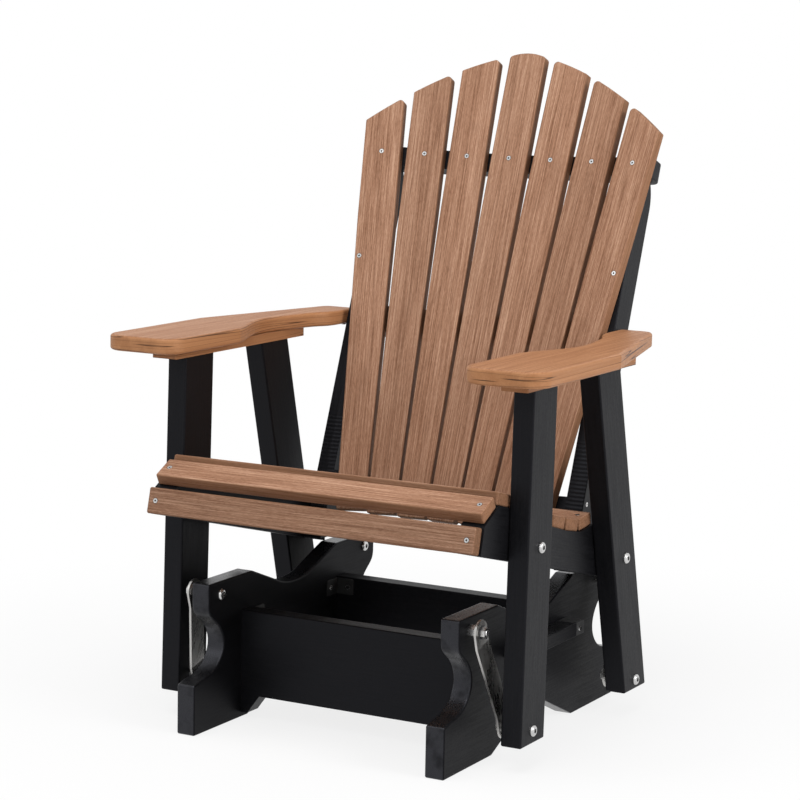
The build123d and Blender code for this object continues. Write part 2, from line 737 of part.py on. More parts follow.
def back_rail(start, height, half_length, corner_radius):
    front_line = curve_forward(half_length)
    outline = Pos(0, (rail_back - front_line) / 2) * Rectangle(2 * half_length, rail_back + front_line)
    if corner_radius > 0:
        outline = fillet(outline.vertices().sort_by(Axis.Y)[-2:], corner_radius)
    board = placed(extrude(outline, amount=height), back_frame.offset(start))
    board = fillet(board.edges().filter_by(Axis.X).sort_by(Axis.Y)[-2:], back_rail_edge_radius)
    for step in slat_steps:
        board = board - cutters[step]
    return board


upper_sizes = (upper_rail_thickness, upper_rail_half_length, upper_rail_corner_radius)
made["back_rail_upper"] = back_rail(upper_rail_start, *upper_sizes)
made["back_rail_lower"] = back_rail(lower_rail_start, lower_rail_height, upright_inner_x, 0)
made["back_rail_bottom"] = back_rail(-bottom_rail_start, bottom_rail_height, upright_inner_x, 0)


# Back uprights
def back_yz(height, forward):
    spot = back_point(0, height, forward)
    return (spot.Y, spot.Z)


def level_cut(forward):
    height = (upright_bottom_z - back_ref_z - forward * math.sin(lean)) / math.cos(lean)
    return back_yz(height, forward)


upright_bottom_z = rail_front_z - upright_bottom_drop
upright_rear = upright_front - upright_depth
neck_start = upper_rail_start - upright_neck_height
neck_mid = neck_start + upright_neck_height * upright_neck_mid_share
neck_mid_forward = upright_rear + upright_neck_cut * upright_neck_sag_share
neck_end_forward = upright_rear + upright_neck_cut
upright_points = [back_yz(upper_rail_start, neck_end_forward), back_yz(upper_rail_start, upright_front)]
upright_points += [level_cut(upright_front), level_cut(upright_rear), back_yz(neck_start, upright_rear)]
upright_line = Polyline(*upright_points)
neck_curve = ThreePointArc(upright_points[-1], back_yz(neck_mid, neck_mid_forward), upright_points[0])
upright = yz_solid(Curve() + upright_line + neck_curve, upright_inner_x, upright_outer_x)
upright = fillet(upright.edges().filter_by(Axis.X, reverse=True), upright_edge_radius)
upright = upright - cutters[-first_step]
both_sides("back_upright", upright)

# Screws of the back
for step in slat_steps:
    plane = slat_plane(step)
    name = "back_slat_" + str(step - first_step + 1)
    upper_spot = plane.origin + plane.y_dir * full_run
    names = [name, "back_rail_upper"]
    set_screw("board_screws", names, upper_spot, plane.z_dir, long_screw_length, screw_head_height)
    low_spot = plane.origin + plane.y_dir * (back_slat_bottom - bottom_screw_depth)
    names = [name, "back_rail_bottom"]
    set_screw("board_screws", names, low_spot, plane.z_dir, long_screw_length, screw_head_height)
    if abs(step) < -first_step:
        mid_height = lower_rail_start + lower_rail_height / 2
        rear_spot = back_point(slat_centre_x(step, mid_height), mid_height, -rail_back)
        set_screw("board_screws", [name, "back_rail_lower"], rear_spot, off_back * -1, long_screw_length)
outer_screw_x = upright_inner_x + outer_screw_inset
for side in (-1, 1):
    outer_step = -side * first_step
    plane = slat_plane(outer_step)
    name = "back_slat_" + str(outer_step - first_step + 1)
    run = outer_screw_height + back_slat_bottom
    shift = (side * outer_screw_x - plane.origin.X - plane.y_dir.X * run) / plane.x_dir.X
    spot = plane.origin + plane.y_dir * run + plane.x_dir * shift
    names = [name, side_name("back_upright", side)]
    set_screw("board_screws", names, spot, plane.z_dir, long_screw_length, screw_head_height)

# Screws between uprights, rails and seat rails
upright_screw_y = back_ref_y - upright_screw_front
upright_screw_z = rail_front_z - upright_screw_drop
for side in (-1, 1):
    upright_name = side_name("back_upright", side)
    for rise_up in (lower_end_screw_low, lower_end_screw_high):
        spot = back_point(side * upright_outer_x, lower_rail_start + rise_up, -rail_end_screw_rear)
        names = [upright_name, "back_rail_lower"]
        set_screw("upright_screws", names, spot, (side, 0, 0), upright_screw_length)
    for depth in (rail_end_screw_front, rail_end_screw_rear):
        height = bottom_rail_height - bottom_rail_start - bottom_end_screw_drop
        spot = back_point(side * upright_outer_x, height, -depth)
        names = [upright_name, "back_rail_bottom"]
        set_screw("upright_screws", names, spot, (side, 0, 0), upright_screw_length, screw_head_height)
    for depth in (upper_end_screw_front, upper_end_screw_rear):
        screw_x = side * (upright_outer_x - upper_end_screw_inset)
        spot = back_point(screw_x, upper_rail_start + upper_rail_thickness, -depth)
        names = ["back_rail_upper", upright_name]
        set_screw("board_screws", names, spot, along_back, long_screw_length, screw_head_height)
    spot = (side * upright_inner_x, upright_screw_y, upright_screw_z)
    names = [upright_name, side_name("seat_rail", side)]
    set_screw("upright_screws", names, spot, (-side, 0, 0), upright_screw_length)

# Arm battens
batten_inner_x = leg_inner_x - batten_inner_reach
batten_outer_x = leg_outer_x + batten_outer_reach
batten_front_y = batten_front_reach - leg_tops["front_leg"][0]
batten_rear_y = leg_tops["rear_leg"][1] + batten_rear_reach
batten_mid_x = (batten_inner_x + batten_outer_x) / 2
batten_mid_y = (batten_rear_y - batten_front_y) / 2
batten = Box(batten_outer_x - batten_inner_x, batten_front_y + batten_rear_y, batten_thickness)
batten = fillet(batten.edges().filter_by(Axis.Z), batten_edge_radius)
batten = Pos(batten_mid_x, batten_mid_y, leg_top_z + batten_thickness / 2) * batten
both_sides("arm_batten", batten)

# Arms
arm_bottom_z = leg_top_z + batten_thickness
arm_inner_x = leg_inner_x - arm_inner_reach
arm_outer_x = leg_outer_x + arm_outer_reach
arm_waist_x = leg_inner_x - arm_waist_inset
arm_taper_x = leg_outer_x - arm_taper_inset
arm_front_y = batten_front_y + arm_front_overhang
arm_shoulder_y = arm_front_y - arm_shoulder_back
arm_bend_y = arm_front_y - arm_bend_back
arm_seat_start_y = back_ref_y + arm_seat_start
arm_rear_y = back_ref_y + arm_rear_reach
arm_taper_y = arm_rear_y - arm_taper_front
inner_front = (arm_inner_x, -arm_front_y)
shoulder = (arm_inner_x, -arm_shoulder_y)
seat_start = (upright_outer_x, arm_seat_start_y)
seat_end = (upright_outer_x, arm_rear_y)
ogee_run = arm_seat_start_y + arm_shoulder_y
ogee_reach = arm_waist_x - arm_inner_x
ogee_points = [(arm_inner_x + ogee_reach * x, -arm_shoulder_y + ogee_run * y) for x, y in arm_ogee_shares]
ogee_start = (ogee_reach * arm_ogee_start_shares[0], ogee_run * arm_ogee_start_shares[1])
ogee = Spline(shoulder, *ogee_points, seat_start, tangents=[ogee_start, (0, 1)])
taper_slope = (arm_outer_x - arm_taper_x) / (arm_taper_y + arm_bend_y)
taper_end = (arm_taper_x - (arm_rear_y - arm_taper_y) * taper_slope, arm_rear_y)
arm_points = [seat_start, seat_end, taper_end, (arm_outer_x, -arm_bend_y)]
arm_points += [(arm_outer_x, -arm_front_y), inner_front, shoulder]
arm_outline = make_face(Curve() + ogee + Polyline(*arm_points))
arm_outline = fillet(arm_outline.vertices().sort_by(Axis.Y)[:2], arm_front_radius)
shoulder_spot = min(arm_outline.vertices(), key=lambda spot: math.dist((spot.X, spot.Y), shoulder))
arm_outline = fillet(shoulder_spot, arm_shoulder_radius)
arm_outline = fillet(arm_outline.vertices().sort_by(Axis.Y)[-2:].sort_by(Axis.X)[:1], arm_end_inner_radius)
arm_outline = fillet(arm_outline.vertices().sort_by(Axis.Y)[-1:], arm_end_outer_radius)
arm = extrude(Plane.XY.offset(arm_bottom_z) * arm_outline, amount=arm_thickness)
arm_rims = arm.faces().sort_by(Axis.Z)[-1].edges() + arm.faces().sort_by(Axis.Z)[0].edges()
arm = fillet(arm_rims, arm_edge_radius)
both_sides("arm", arm)

# Screws of arms and battens
clear_start = leg_tops["front_leg"][1]
clear_end = leg_tops["rear_leg"][0]
for side in (-1, 1):
    arm_name = side_name("arm", side)
    batten_name = side_name("arm_batten", side)
    for share in arm_screw_shares:
        spot = (side * batten_mid_x, clear_start + share * (clear_end - clear_start), leg_top_z)
        set_screw("arm_screws", [batten_name, arm_name], spot, (0, 0, -1), arm_screw_length)
    for leg_name, foot_y, foot_z, lean_deg in leg_specs:
        top_y = foot_y + (leg_top_z - foot_z) * math.tan(radians_of(lean_deg))
        spot = (side * (leg_inner_x + leg_thickness / 2), top_y, arm_bottom_z)
        names = [batten_name, side_name(leg_name, side)]
        set_screw("board_screws", names, spot, (0, 0, 1), long_screw_length, screw_head_height)

# Arm brackets
arm_bracket_y = arm_rear_y - arm_bracket_front
for side in (-1, 1):
    bracket = Rot(90, 0, 0) * bracket_shape(arm_bracket_leg, arm_bracket_width)
    bracket = Pos(upright_outer_x, arm_bracket_y, arm_bottom_z) * mirror(bracket, about=Plane.XY)
    if side < 0:
        bracket = mirrored(bracket)
    made["arm_bracket"] = bracket
    spot = (side * (upright_outer_x + bracket_gauge), arm_bracket_y, arm_bottom_z - arm_bracket_reach)
    names = ["arm_bracket", side_name("back_upright", side)]
    set_screw("bracket_screws", names, spot, (side, 0, 0), short_screw_length)
    spot = (side * (upright_outer_x + arm_bracket_reach), arm_bracket_y, arm_bottom_z - bracket_gauge)
    set_screw("bracket_screws", ["arm_bracket", side_name("arm", side)], spot, (0, 0, -1), short_screw_length)
    add_to("arm_brackets", made.pop("arm_bracket"))

# Leg bolts at the seat
front_grip = leg_outer_x - rail_inner_x
rear_grip = leg_outer_x - upright_inner_x
front_bolt_z = rail_front_z - front_bolt_drop
front_bolt_y = front_leg_y + (front_bolt_z - front_low_z) * leg_slopes["front_leg"] + front_bolt_shift
bolt_specs = [("front_leg", front_bolt_y, front_bolt_z, front_grip)]
bolt_specs += [("rear_leg", back_ref_y - rear_bolt_front, rail_front_z - rear_bolt_drop, rear_grip)]
for side in (-1, 1):
    for leg_name, bolt_y, bolt_z, grip in bolt_specs:
        plane = seat_plane((side * leg_outer_x, bolt_y, bolt_z), (side, 0, 0))
        length = grip + nut_height + bolt_end_reach
        add_to(leg_name + "_bolts", placed(bolt_shape(length), plane))
        names = [side_name(leg_name, side), side_name("seat_rail", side)]
        if leg_name == "rear_leg":
            names.append(side_name("back_upright", side))
        cut_rod(names, plane, cut_overrun, -grip - cut_overrun, bolt_bore)
        nut = hex_ring(nut_across_flats, nut_height, bolt_bore)
        nut_plane = seat_plane((side * (leg_outer_x - grip), bolt_y, bolt_z), (-side, 0, 0))
        add_to("chair_nuts", placed(nut, nut_plane))

# Lower pivot bolts, spacers and nuts
lower_outer_x = link_lower_x + link_gauge / 2 + bush_flange
lower_inner_x = link_lower_x - link_gauge / 2 - bush_flange
lower_bolt_length = leg_outer_x - lower_inner_x + side_play + nut_height + bolt_end_reach
low_pivots = [("front_leg", front_low_y, front_low_z), ("rear_leg", rear_low_y, rear_low_z)]
for side in (-1, 1):
    for leg_name, pivot_y, pivot_z in low_pivots:
        plane = seat_plane((side * leg_outer_x, pivot_y, pivot_z), (side, 0, 0))
        add_to("lower_pivot_bolts", placed(bolt_shape(lower_bolt_length), plane))
        leg_side = side_name(leg_name, side)
        cut_rod([leg_side], plane, cut_overrun, -leg_thickness - cut_overrun, bolt_bore)
        inward = seat_plane((side * leg_inner_x, pivot_y, pivot_z), (-side, 0, 0))
        spacer_length = leg_inner_x - lower_outer_x - side_play
        spacer = round_ring(lower_spacer_radius, spacer_length, bolt_bore)
        add_to("lower_pivot_spacers", placed(spacer, inward))
        nut = hex_ring(nut_across_flats, nut_height, bolt_bore)
        nut_plane = inward.offset(leg_inner_x - lower_inner_x + side_play)
        add_to("chair_nuts", placed(nut, nut_plane))

# Export in the shared frame
setback = Pos(0, -base_setback, 0)
for name, shape in made.items():
    export_step(setback * shape, "parts/" + name + ".step")
for name, shapes in groups.items():
    export_step(Compound(children=[setback * shape for shape in shapes]), "parts/" + name + ".step")
whole = Compound(children=list(made.values()) + [shape for shapes in groups.values() for shape in shapes])
size = (setback * whole).bounding_box()
print("nodes", len(made) + len(groups))
print("low", size.min, "high", size.max)
print("lower pivots", front_low_y - base_setback, front_low_z, rear_low_y - base_setback, rear_low_z)
print("rear link rest", rear_link_rest_deg)
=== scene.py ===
import json
import math

import bmesh
import bpy
import numpy as np
from mathutils import Matrix, Vector

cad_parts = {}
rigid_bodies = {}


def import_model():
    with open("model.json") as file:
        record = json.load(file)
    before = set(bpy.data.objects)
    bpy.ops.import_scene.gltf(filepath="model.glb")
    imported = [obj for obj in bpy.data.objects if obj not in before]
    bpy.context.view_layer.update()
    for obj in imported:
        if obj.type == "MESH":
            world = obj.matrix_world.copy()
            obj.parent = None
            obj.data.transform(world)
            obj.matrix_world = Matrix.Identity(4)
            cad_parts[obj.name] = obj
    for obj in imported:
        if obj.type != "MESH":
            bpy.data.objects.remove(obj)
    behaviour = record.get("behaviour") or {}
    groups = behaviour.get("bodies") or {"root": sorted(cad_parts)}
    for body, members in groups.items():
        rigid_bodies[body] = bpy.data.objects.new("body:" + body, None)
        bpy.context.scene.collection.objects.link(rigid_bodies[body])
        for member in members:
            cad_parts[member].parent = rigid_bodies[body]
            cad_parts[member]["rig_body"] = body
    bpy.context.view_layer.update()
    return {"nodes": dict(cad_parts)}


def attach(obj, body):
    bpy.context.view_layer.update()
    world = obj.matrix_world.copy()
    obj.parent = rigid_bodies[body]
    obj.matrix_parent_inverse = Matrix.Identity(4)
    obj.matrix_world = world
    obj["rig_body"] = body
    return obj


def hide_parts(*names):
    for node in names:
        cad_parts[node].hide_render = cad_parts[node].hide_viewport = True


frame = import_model()
nodes = frame["nodes"]
print("frame loaded,", len(nodes), "nodes")

acrossChair = (1, 0, 0)
alongChair = (0, 1, 0)
upwards = (0, 0, 1)


# trees of nodes
def addNode(tree, kind, label, **settings):
    node = tree.nodes.new(kind)
    node.label = label
    for key, value in settings.items():
        setattr(node, key, value)
    return node


def feed(tree, node, **values):
    # sets a socket or links another to it; n0, n1 and so on name it by its number
    for key, value in values.items():
        byNumber = key[0] == "n" and key[1:].isdigit()
        socket = node.inputs[int(key[1:])] if byNumber else node.inputs[key.replace("_", " ")]
        if isinstance(value, bpy.types.NodeSocket):
            tree.links.new(value, socket)
        else:
            socket.default_value = value
    return node


def maths(tree, label, operation, first, second=0.0, third=0.0):
    node = addNode(tree, "ShaderNodeMath", label, operation=operation)
    return feed(tree, node, n0=first, n1=second, n2=third).outputs[0]


def stretchedNoise(tree, place, label, stretch, detail, rough, wobble):
    mapping = addNode(tree, "ShaderNodeMapping", label + " stretch")
    stretched = feed(tree, mapping, Vector=place, Scale=stretch).outputs[0]
    noise = addNode(tree, "ShaderNodeTexNoise", label)
    feed(tree, noise, Vector=stretched, Scale=1.0, Detail=detail, Roughness=rough, Distortion=wobble)
    return noise.outputs[0]


def weighted(tree, label, sockets, weights):
    total = 0.0
    for socket, weight in zip(sockets, weights):
        total = maths(tree, label, "MULTIPLY_ADD", socket, weight, total)
    return total


def spread(tree, label, value, low, high, newLow=0.0, newHigh=1.0):
    node = addNode(tree, "ShaderNodeMapRange", label, interpolation_type="SMOOTHSTEP")
    return feed(tree, node, n0=value, n1=low, n2=high, n3=newLow, n4=newHigh).outputs[0]


def opaque(colour):
    return colour if isinstance(colour, bpy.types.NodeSocket) else (*colour, 1.0)


def ramp(tree, label, value, span, dark, light, middle=None):
    node = addNode(tree, "ShaderNodeValToRGB", label)
    low, high = span
    first, last = node.color_ramp.elements
    first.position, first.color = low, opaque(dark)
    last.position, last.color = high, opaque(light)
    if middle:
        node.color_ramp.elements.new((low + high) / 2).color = opaque(middle)
    return feed(tree, node, Fac=value).outputs[0]


def mixColour(tree, label, share, first, second, blend="MIX"):
    node = addNode(tree, "ShaderNodeMix", label, data_type="RGBA", blend_type=blend)
    return feed(tree, node, n0=share, n6=opaque(first), n7=opaque(second)).outputs[2]


def startMaterial(name):
    material = bpy.data.materials.new(name)
    material.use_nodes = True
    tree = material.node_tree
    coords = addNode(tree, "ShaderNodeTexCoord", "object place")
    return material, tree, tree.nodes["Principled BSDF"], coords.outputs


def lengthwise(tree, place, along, shift=(0, 0, 0)):
    # turns places so that the board's length runs along X
    turn = Vector(along).rotation_difference(Vector(acrossChair)).to_euler()
    turned = addNode(tree, "ShaderNodeMapping", "length along X")
    return feed(tree, turned, Vector=place, Rotation=turn, Location=shift).outputs[0]


def bumped(tree, shader, height, strength, distance):
    bump = addNode(tree, "ShaderNodeBump", "surface relief")
    feed(tree, bump, Strength=strength, Distance=distance, Height=height)
    feed(tree, shader, Normal=bump.outputs[0])


# groups of nodes, and the way along a board
def both(stem):
    return [stem + "_left", stem + "_right"]


def frontAndRear(stem):
    return [stem + "_front", stem + "_rear"]


def allNamed(stem):
    return sorted(name for name in nodes if name.startswith(stem))


def leaningBy(degrees):
    # the way up along a board that leans this far to the rear
    return 0, math.sin(math.radians(degrees)), math.cos(math.radians(degrees))


def paint(nodeNames, material):
    for nodeName in nodeNames:
        nodes[nodeName].data.materials[0] = material


# tan boards: brushed grain on the faces, routed edges with lines of their own; on the slats the edges also
# carry painted shade
tanSlat = {
    # patterns: stretch along and across per metre, detail, roughness, wobble
    "streaks": ((8.0, 470.0, 470.0), 3.0, 0.55, 0.0),
    "flecks": ((110.0, 1200.0, 1200.0), 2.0, 0.7, 0.0),
    "bands": ((0.9, 42.0, 42.0), 2.0, 0.5, 0.4),
    "rings": ((1.1, 24.0, 24.0), 1.0, 0.4, 0.25),
    "weights": (0.50, 0.34, 0.16),  # of streaks, flecks and bands
    "grainSpan": (0.38, 0.64),
    "dark": (0.190, 0.086, 0.045),
    "middle": (0.342, 0.180, 0.108),
    "light": (0.510, 0.306, 0.202),
    "edgeSpan": (0.52, 0.93),  # how squarely a surface looks out, from edge to broad face
    "edgeShare": 0.72,
    "bandSpan": (0.35, 0.65),
    # darker edge tones: painted shade on the slats' side faces, banded with edge grain
    "edgeLight": (0.235, 0.112, 0.055),
    "edgeMiddle": (0.175, 0.080, 0.038),
    "ringTone": (0.110, 0.045, 0.020),
    "ringCount": 9.0,
    "ringPeak": 0.5,  # half of the way from one ring to the next
    "ringWidth": 0.16,
    "ringDepth": 0.16,
    "edgeRingDepth": 0.30,
    "glossSpan": (0.35, 0.65),
    "roughness": (0.74, 0.58),  # in the grooves and on the ridges
    "specular": 0.20,
    "relief": (0.85, 0.0020),  # strength, distance
}
tanArm = dict(
    tanSlat,
    streaks=((6.0, 360.0, 360.0), 3.0, 0.55, 0.0),
    rings=((1.3, 2.6, 62.0), 1.0, 0.4, 0.25),
    grainSpan=(0.36, 0.66),
    dark=(0.228, 0.094, 0.040),
    middle=(0.346, 0.158, 0.073),
    light=(0.452, 0.228, 0.115),
    edgeShare=0.75,
    edgeLight=(0.410, 0.192, 0.084),
    edgeMiddle=(0.330, 0.146, 0.060),
    ringTone=(0.045, 0.016, 0.007),
    ringCount=6.0,
    ringWidth=0.07,
    ringDepth=0.0,  # no lines on the arms' broad faces
    edgeRingDepth=0.95,
    roughness=(0.56, 0.42),
    relief=(0.22, 0.0009),
)


def routedEdge(tree, normal, facing, look):
    # 1 on a board's edges, 0 on its two broad faces
    side = addNode(tree, "ShaderNodeVectorMath", "face or edge", operation="DOT_PRODUCT")
    feed(tree, side, n0=normal, n1=Vector(facing).normalized())
    flat = maths(tree, "either face", "ABSOLUTE", side.outputs["Value"])
    return spread(tree, "routed edge", flat, *look["edgeSpan"], 1.0, 0.0)


def growthRings(tree, place, edge, look):
    growth = stretchedNoise(tree, place, "growth rings", *look["rings"])
    counted = maths(tree, "ring count", "MULTIPLY", growth, look["ringCount"])
    repeated = maths(tree, "ring repeats", "PINGPONG", counted, look["ringPeak"])
    line = spread(tree, "ring lines", repeated, 0.0, look["ringWidth"], 1.0, 0.0)
    onFaces = maths(tree, "face rings", "MULTIPLY", line, look["ringDepth"])
    lineOnEdge = maths(tree, "rings on edges", "MULTIPLY", line, edge)
    onEdges = maths(tree, "edge rings", "MULTIPLY", lineOnEdge, look["edgeRingDepth"])
    return maths(tree, "all rings", "MAXIMUM", onFaces, onEdges)


def tanMaterial(name, look, along, facing, shift, shade):
    material, tree, shader, coords = startMaterial(name)
    place = lengthwise(tree, coords["Object"], along, shift)
    patterns = ("streaks", "flecks", "bands")
    streaks, flecks, bands = (stretchedNoise(tree, place, key, *look[key]) for key in patterns)
    grain = weighted(tree, "grain", (streaks, flecks, bands), look["weights"])
    face = ramp(tree, "face grain", grain, look["grainSpan"], look["dark"], look["light"], look["middle"])
    edge = routedEdge(tree, coords["Normal"], facing, look)
    banded = spread(tree, "edge bands", bands, *look["bandSpan"])
    # the edge tones are painted shade on the slats' side faces; on the arms they are the roundovers' own
    # grain
    edgeGrainAndShadeTone = mixColour(tree, "edge grain and painted shade", banded, look["edgeLight"], look["edgeMiddle"])
    edgeShare = maths(tree, "edge share", "MULTIPLY", edge, look["edgeShare"])
    toned = mixColour(tree, "face and edge", edgeShare, face, edgeGrainAndShadeTone)
    ringed = mixColour(tree, "ring tone", growthRings(tree, place, edge, look), toned, look["ringTone"])
    # shade scales the whole colour: painted light on the front slat, painted shade on the apron
    tinted = mixColour(tree, "brightness factor", 1.0, ringed, (shade, shade, shade), "MULTIPLY")
    gloss = spread(tree, "gloss", grain, *look["glossSpan"], *look["roughness"])
    feed(tree, shader, Base_Color=tinted, Roughness=gloss, Specular_IOR_Level=look["specular"])
    bumped(tree, shader, grain, *look["relief"])
    return material


back = {
    "lean": 20.5,  # degrees
    "fanStep": 2.113,  # degrees from slat to slat
    "patternStep": 0.37,
    "shades": (1.0, 0.93, 1.01, 0.97, 1.03, 0.98, 1.07),
}


def paintBackSlats():
    lean = math.radians(back["lean"])
    facing = (0.0, -math.cos(lean), math.sin(lean))
    for number, shade in enumerate(back["shades"]):
        fan = math.radians(back["fanStep"] * (number - len(back["shades"]) // 2))
        along = (math.sin(fan), math.cos(fan) * math.sin(lean), math.cos(fan) * math.cos(lean))
        shift = (back["patternStep"] * number, 0, 0)
        material = tanMaterial("tanBackSlat" + str(number + 1), tanSlat, along, facing, shift, shade)
        paint(["back_slat_" + str(number + 1)], material)


frontSlat, *seatSlats = allNamed("seat_slat_")
tanBoards = {
    # finish: look, way along, way the broad face looks, pattern shift, shade (painted light on the front
    # slat, painted shade on the apron), nodes
    "tanFrontSlat": (tanSlat, acrossChair, (0, -0.45, 0.89), (0.2, 0, 0), 1.10, [frontSlat]),
    "tanSeatSlats": (tanSlat, acrossChair, (0, 0.28, 0.96), (0, 0, 0), 1.0, seatSlats),
    "tanApron": (tanSlat, acrossChair, (0, -0.97, 0.24), (0.5, 0, 0), 0.76, ["front_apron"]),
    "tanArms": (tanArm, alongChair, upwards, (0, 0, 0), 1.0, both("arm")),
    "tanBattens": (tanArm, alongChair, upwards, (0.3, 0.1, 0), 0.9, both("arm_batten")),
}
paintBackSlats()
for finish, (*tanFacts, painted) in tanBoards.items():
    paint(painted, tanMaterial(finish, *tanFacts))
print("tan boards painted")

# black boards: a moulded skin, shinier where the base boards are sawn, ribs low on the uprights
blackBoard = {
    "brush": ((14.0, 520.0, 520.0), 2.0, 0.55, 0.0),
    "pebble": ((240.0, 330.0, 330.0), 2.0, 0.6, 0.0),
    "clouds": ((3.0, 9.0, 9.0), 2.0, 0.55, 0.0),
    "weights": (0.45, 0.35, 0.20),  # of brush, pebble and clouds
    "skinSpan": (0.36, 0.64),
    "dark": (0.0024, 0.0024, 0.0028),
    "light": (0.0064, 0.0063, 0.0072),
    "roughness": (0.38, 0.54),
    "specular": 0.14,
    "specularTint": (0.86, 0.88, 1.0, 1.0),
    "relief": (0.26, 0.0008),
}
sawn = {
    "sidewaysSpan": (0.2, 0.9),  # how squarely a surface looks sideways, from sawn edge to broad face
    "worn": ((26.0, 26.0, 26.0), 3.0, 0.6, 0.0),
    "wornSpan": (0.25, 0.6),
    "wornShares": (0.35, 1.0),
    "specular": 0.44,
    "roughnessShare": 0.62,
}
ribs = {
    "pitch": 0.0070,
    "top": 0.50,  # height up to which the ribs reach
    "fade": 0.01,
    "depth": 1.6,
    "facingSpan": (-0.8, -0.4),  # only on what looks to the front
}


def sawnEdges(tree, shader, coords, gloss, specular):
    looks = feed(tree, addNode(tree, "ShaderNodeSeparateXYZ", "which face"), n0=coords["Normal"])
    sideways = maths(tree, "sideways", "ABSOLUTE", looks.outputs["X"])
    cut = spread(tree, "sawn", sideways, *sawn["sidewaysSpan"], 1.0, 0.0)
    patches = stretchedNoise(tree, coords["Object"], "worn patches", *sawn["worn"])
    worn = spread(tree, "worn", patches, *sawn["wornSpan"], *sawn["wornShares"])
    share = maths(tree, "sawn share", "MULTIPLY", cut, worn)
    shine = spread(tree, "sawn shine", share, 0.0, 1.0, specular, sawn["specular"])
    feed(tree, shader, Specular_IOR_Level=shine)
    smoother = spread(tree, "smoother", share, 0.0, 1.0, 1.0, sawn["roughnessShare"])
    return maths(tree, "sawn gloss", "MULTIPLY", gloss, smoother)


def ribbed(tree, coords, skin):
    spot = feed(tree, addNode(tree, "ShaderNodeSeparateXYZ", "height"), n0=coords["Object"])
    looks = feed(tree, addNode(tree, "ShaderNodeSeparateXYZ", "which face"), n0=coords["Normal"])
    turns = maths(tree, "rib count", "MULTIPLY", spot.outputs["Z"], math.tau / ribs["pitch"])
    wave = maths(tree, "rib wave", "MULTIPLY", maths(tree, "rib sine", "SINE", turns), ribs["depth"])
    low = spread(tree, "ribs end", spot.outputs["Z"], ribs["top"] - ribs["fade"], ribs["top"], 1.0, 0.0)
    front = spread(tree, "front faces", looks.outputs["Y"], *ribs["facingSpan"], 1.0, 0.0)
    where = maths(tree, "where ribs are", "MULTIPLY", low, front)
    return maths(tree, "ribs and skin", "MULTIPLY_ADD", wave, where, skin)


def blackMaterial(name, along, look=blackBoard, isSawn=False, isRibbed=False):
    material, tree, shader, coords = startMaterial(name)
    place = lengthwise(tree, coords["Object"], along)
    patterns = [stretchedNoise(tree, place, key, *look[key]) for key in ("brush", "pebble", "clouds")]
    skin = weighted(tree, "skin", patterns, look["weights"])
    tone = ramp(tree, "black tone", skin, look["skinSpan"], look["dark"], look["light"])
    gloss = spread(tree, "gloss", skin, *look["skinSpan"], *look["roughness"])
    feed(tree, shader, Base_Color=tone, Specular_IOR_Level=look["specular"])
    feed(tree, shader, Specular_Tint=look["specularTint"])
    if isSawn:
        gloss = sawnEdges(tree, shader, coords, gloss, look["specular"])
    feed(tree, shader, Roughness=gloss)
    height = ribbed(tree, coords, skin) if isRibbed else skin
    bumped(tree, shader, height, *look["relief"])
    return material


baseBoard = dict(blackBoard, specular=0.08)
leaningBoards = {
    # finish: lean of the board's length in degrees, nodes
    "blackSeatRails": (104.1, both("seat_rail")),
    "blackFrontLegs": (1.7, both("front_leg")),
    "blackRearLegs": (-14.5, both("rear_leg")),
}
for finish, (lean, painted) in leaningBoards.items():
    paint(painted, blackMaterial(finish, leaningBy(lean)))
paint(frontAndRear("base_stretcher"), blackMaterial("blackStretchers", acrossChair))
paint(allNamed("back_rail_"), blackMaterial("blackBackRails", acrossChair))
baseMaterial = blackMaterial("blackBaseBoards", alongChair, baseBoard, isSawn=True)
paint(both("base_side") + both("stop_block"), baseMaterial)
paint(both("back_upright"), blackMaterial("blackUprights", leaningBy(back["lean"]), isRibbed=True))
print("black boards painted")

# metal, with painted shade in its small sockets and crevices
steel = {
    "smears": ((34.0, 34.0, 34.0), 2.0, 0.55, 0.0),
    "weights": (0.55, 0.45),  # of polishing lines and smears
    "finishSpan": (0.35, 0.65),
    "socketReach": 0.004,  # a surface with others this near counts as sunk
    "socketSpan": (0.35, 0.85),
    "socketSamples": 12,
    # the colour of the painted shade in sunk places
    "socketPaintedShade": (0.03, 0.03, 0.03),
}
steelLooks = {
    "linkSteel": dict(
        steel,
        lines=((120.0, 120.0, 8.0), 3.0, 0.6, 0.0),
        dark=(0.42, 0.41, 0.40),
        light=(0.56, 0.55, 0.53),
        roughness=(0.24, 0.34),
        relief=(0.02, 0.0003),
    ),
    "fastenerSteel": dict(
        steel,
        lines=((420.0, 420.0, 420.0), 3.0, 0.6, 0.0),
        dark=(0.46, 0.46, 0.46),
        light=(0.70, 0.69, 0.68),
        roughness=(0.20, 0.32),
        relief=(0.06, 0.0003),
    ),
}


def steelMaterial(name):
    look = steelLooks[name]
    material, tree, shader, coords = startMaterial(name)
    lines, smears = (stretchedNoise(tree, coords["Object"], key, *look[key]) for key in ("lines", "smears"))
    finish = weighted(tree, "finish", (lines, smears), look["weights"])
    tone = ramp(tree, "steel tone", finish, look["finishSpan"], look["dark"], look["light"])
    # ambient occlusion paints shade into sunk places: sockets and crevices
    shaded = addNode(tree, "ShaderNodeAmbientOcclusion", "sockets", only_local=True)
    shaded.samples = look["socketSamples"]
    feed(tree, shaded, Distance=look["socketReach"])
    unshadedShare = spread(tree, "unshaded or painted shade", shaded.outputs["AO"], *look["socketSpan"])
    colour = mixColour(tree, "painted shade in sockets", unshadedShare, look["socketPaintedShade"], tone)
    gloss = spread(tree, "gloss", finish, *look["finishSpan"], *look["roughness"])
    feed(tree, shader, Base_Color=colour, Roughness=gloss, Metallic=1.0)
    bumped(tree, shader, lines, *look["relief"])
    return material


